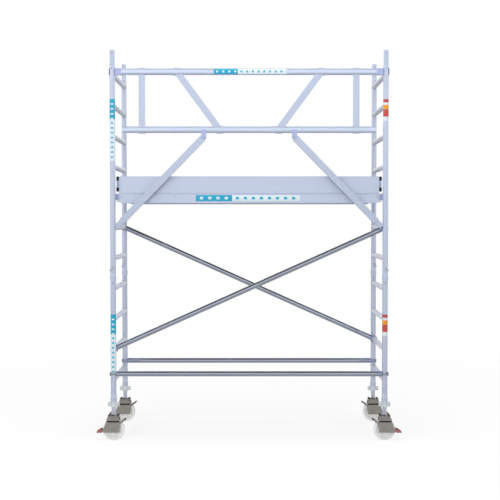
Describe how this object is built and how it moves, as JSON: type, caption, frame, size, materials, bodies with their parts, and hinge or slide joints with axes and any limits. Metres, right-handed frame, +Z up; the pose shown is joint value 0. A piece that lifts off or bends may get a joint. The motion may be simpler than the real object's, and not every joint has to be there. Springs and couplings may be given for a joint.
{
  "type": "mobile tower scaffold",
  "caption": "Aluminium tower scaffold on braked swivel castors, with ladder end frames, braces, a hatched platform and a folding guardrail.",
  "frame": {"origin": "on the ground at the centre of the tower's footprint", "axes": "+X along the bay, +Z up, the guardrail side faces -Y"},
  "size_m": [2.814, 0.96, 3.58],
  "materials": {
    "aluminium": "satin extruded",
    "castings": "satin cast",
    "brace_tube": "polished drawn tube",
    "zinc_steel": "zinc plated",
    "plywood": "phenolic film, wire mesh print",
    "black_plastic": "moulded",
    "nylon": "natural nylon",
    "red_paint": "worn red paint",
    "castor_steel": "zinc plated pressed steel",
    "nut_casting": "galvanised",
    "spindle_steel": "zinc plated thread"
  },
  "bodies": {
    "tower": {"lower_posts_left": "aluminium", "lower_rungs_left": "aluminium", "upper_posts_left": "aluminium", "upper_rungs_left": "aluminium", "lower_posts_right": "aluminium", "lower_rungs_right": "aluminium", "upper_posts_right": "aluminium", "upper_rungs_right": "aluminium", "frame_spigots": "aluminium", "frame_locking_clips": "zinc_steel", "near_horizontal_brace": "brace_tube", "near_diagonal_brace": "brace_tube", "far_horizontal_brace": "brace_tube", "far_diagonal_brace": "brace_tube", "brace_claws": "castings", "brace_claw_latches": "zinc_steel", "guardrail_top_rail": "aluminium", "guardrail_knee_rail": "aluminium", "guardrail_posts": "aluminium", "guardrail_struts": "aluminium", "guardrail_end_claws": "castings", "guardrail_hinge_brackets": "castings", "platform_side_beams": "aluminium", "platform_cross_beams": "aluminium", "platform_deck": "plywood", "platform_hooks": "castings", "trapdoor_hinges": "zinc_steel", "long_toe_boards": "aluminium", "end_toe_boards": "aluminium", "toe_board_clips": "black_plastic"},
    "jack_near_left": {"spindle_near_left": "spindle_steel"},
    "nut_near_left": {"adjusting_nut_near_left": "nut_casting"},
    "swivel_near_left": {"fork_near_left": "castor_steel", "axle_near_left": "castor_steel"},
    "roller_near_left": {"wheel_near_left": "nylon"},
    "brake_near_left": {"brake_pedal_near_left": "red_paint"},
    "jack_near_right": {"spindle_near_right": "spindle_steel"},
    "nut_near_right": {"adjusting_nut_near_right": "nut_casting"},
    "swivel_near_right": {"fork_near_right": "castor_steel", "axle_near_right": "castor_steel"},
    "roller_near_right": {"wheel_near_right": "nylon"},
    "brake_near_right": {"brake_pedal_near_right": "red_paint"},
    "jack_far_left": {"spindle_far_left": "spindle_steel"},
    "nut_far_left": {"adjusting_nut_far_left": "nut_casting"},
    "swivel_far_left": {"fork_far_left": "castor_steel", "axle_far_left": "castor_steel"},
    "roller_far_left": {"wheel_far_left": "nylon"},
    "brake_far_left": {"brake_pedal_far_left": "red_paint"},
    "jack_far_right": {"spindle_far_right": "spindle_steel"},
    "nut_far_right": {"adjusting_nut_far_right": "nut_casting"},
    "swivel_far_right": {"fork_far_right": "castor_steel", "axle_far_right": "castor_steel"},
    "roller_far_right": {"wheel_far_right": "nylon"},
    "brake_far_right": {"brake_pedal_far_right": "red_paint"},
    "hatch": {"trapdoor": "plywood"},
    "hatch_latch": {"trapdoor_latch": "zinc_steel"},
    "arm_left": {"guardrail_arm_left": "aluminium"},
    "uplift_lock_left": {"wind_lock_left": "zinc_steel"},
    "arm_right": {"guardrail_arm_right": "aluminium"},
    "uplift_lock_right": {"wind_lock_right": "zinc_steel"}
  },
  "joints": [
    {"name": "jack_slide_near_left", "type": "slide", "parent": "tower", "child": "jack_near_left", "axis": [0, 0, -1], "range_m": [-0.06, 0.2]},
    {"name": "nut_turn_near_left", "type": "hinge", "parent": "tower", "child": "nut_near_left", "pos_m": [-1.25, -0.425, 0.335], "axis": [0, 0, 1], "range_deg": [-1860, 6060]},
    {"name": "fork_swivel_near_left", "type": "hinge", "parent": "jack_near_left", "child": "swivel_near_left", "pos_m": [-1.25, -0.425, 0.209], "axis": [0, 0, 1], "continuous": true},
    {"name": "wheel_spin_near_left", "type": "hinge", "parent": "swivel_near_left", "child": "roller_near_left", "pos_m": [-1.25, -0.425, 0.1], "axis": [0, 1, 0], "continuous": true},
    {"name": "brake_rock_near_left", "type": "hinge", "parent": "swivel_near_left", "child": "brake_near_left", "pos_m": [-1.25, -0.425, 0.1], "axis": [0, -1, 0], "range_deg": [0, 12]},
    {"name": "jack_slide_near_right", "type": "slide", "parent": "tower", "child": "jack_near_right", "axis": [0, 0, -1], "range_m": [-0.06, 0.2]},
    {"name": "nut_turn_near_right", "type": "hinge", "parent": "tower", "child": "nut_near_right", "pos_m": [1.25, -0.425, 0.335], "axis": [0, 0, 1], "range_deg": [-1860, 6060]},
    {"name": "fork_swivel_near_right", "type": "hinge", "parent": "jack_near_right", "child": "swivel_near_right", "pos_m": [1.25, -0.425, 0.209], "axis": [0, 0, 1], "continuous": true},
    {"name": "wheel_spin_near_right", "type": "hinge", "parent": "swivel_near_right", "child": "roller_near_right", "pos_m": [1.25, -0.425, 0.1], "axis": [0, 1, 0], "continuous": true},
    {"name": "brake_rock_near_right", "type": "hinge", "parent": "swivel_near_right", "child": "brake_near_right", "pos_m": [1.25, -0.425, 0.1], "axis": [0, 1, 0], "range_deg": [0, 12]},
    {"name": "jack_slide_far_left", "type": "slide", "parent": "tower", "child": "jack_far_left", "axis": [0, 0, -1], "range_m": [-0.06, 0.2]},
    {"name": "nut_turn_far_left", "type": "hinge", "parent": "tower", "child": "nut_far_left", "pos_m": [-1.25, 0.425, 0.335], "axis": [0, 0, 1], "range_deg": [-1860, 6060]},
    {"name": "fork_swivel_far_left", "type": "hinge", "parent": "jack_far_left", "child": "swivel_far_left", "pos_m": [-1.25, 0.425, 0.209], "axis": [0, 0, 1], "continuous": true},
    {"name": "wheel_spin_far_left", "type": "hinge", "parent": "swivel_far_left", "child": "roller_far_left", "pos_m": [-1.25, 0.425, 0.1], "axis": [0, 1, 0], "continuous": true},
    {"name": "brake_rock_far_left", "type": "hinge", "parent": "swivel_far_left", "child": "brake_far_left", "pos_m": [-1.25, 0.425, 0.1], "axis": [0, -1, 0], "range_deg": [0, 12]},
    {"name": "jack_slide_far_right", "type": "slide", "parent": "tower", "child": "jack_far_right", "axis": [0, 0, -1], "range_m": [-0.06, 0.2]},
    {"name": "nut_turn_far_right", "type": "hinge", "parent": "tower", "child": "nut_far_right", "pos_m": [1.25, 0.425, 0.335], "axis": [0, 0, 1], "range_deg": [-1860, 6060]},
    {"name": "fork_swivel_far_right", "type": "hinge", "parent": "jack_far_right", "child": "swivel_far_right", "pos_m": [1.25, 0.425, 0.209], "axis": [0, 0, 1], "continuous": true},
    {"name": "wheel_spin_far_right", "type": "hinge", "parent": "swivel_far_right", "child": "roller_far_right", "pos_m": [1.25, 0.425, 0.1], "axis": [0, 1, 0], "continuous": true},
    {"name": "brake_rock_far_right", "type": "hinge", "parent": "swivel_far_right", "child": "brake_far_right", "pos_m": [1.25, 0.425, 0.1], "axis": [0, 1, 0], "range_deg": [0, 12]},
    {"name": "guardrail_arm_fold_left", "type": "hinge", "parent": "tower", "child": "arm_left", "pos_m": [-0.415, -0.425, 2.791], "axis": [0, -1, 0], "range_deg": [0, 60]},
    {"name": "wind_lock_turn_left", "type": "hinge", "parent": "tower", "child": "uplift_lock_left", "pos_m": [-1.178, 0, 2.207], "axis": [0, 0, -1], "range_deg": [0, 90]},
    {"name": "guardrail_arm_fold_right", "type": "hinge", "parent": "tower", "child": "arm_right", "pos_m": [0.415, -0.425, 2.791], "axis": [0, 1, 0], "range_deg": [0, 60]},
    {"name": "wind_lock_turn_right", "type": "hinge", "parent": "tower", "child": "uplift_lock_right", "pos_m": [1.178, 0, 2.207], "axis": [0, 0, 1], "range_deg": [0, 90]},
    {"name": "trapdoor_hinge", "type": "hinge", "parent": "tower", "child": "hatch", "pos_m": [0.7, 0.28, 2.2793], "axis": [-1, 0, 0], "range_deg": [0, 95]},
    {"name": "trapdoor_latch_turn", "type": "hinge", "parent": "hatch", "child": "hatch_latch", "pos_m": [0.7, -0.22, 2.27], "axis": [0, 0, -1], "range_deg": [0, 90]}
  ],
  "couplings": [
    {"joint": "nut_turn_near_left", "follows": "jack_slide_near_left", "rad_per_m": 523.6},
    {"joint": "nut_turn_near_right", "follows": "jack_slide_near_right", "rad_per_m": 523.6},
    {"joint": "nut_turn_far_left", "follows": "jack_slide_far_left", "rad_per_m": 523.6},
    {"joint": "nut_turn_far_right", "follows": "jack_slide_far_right", "rad_per_m": 523.6}
  ]
}
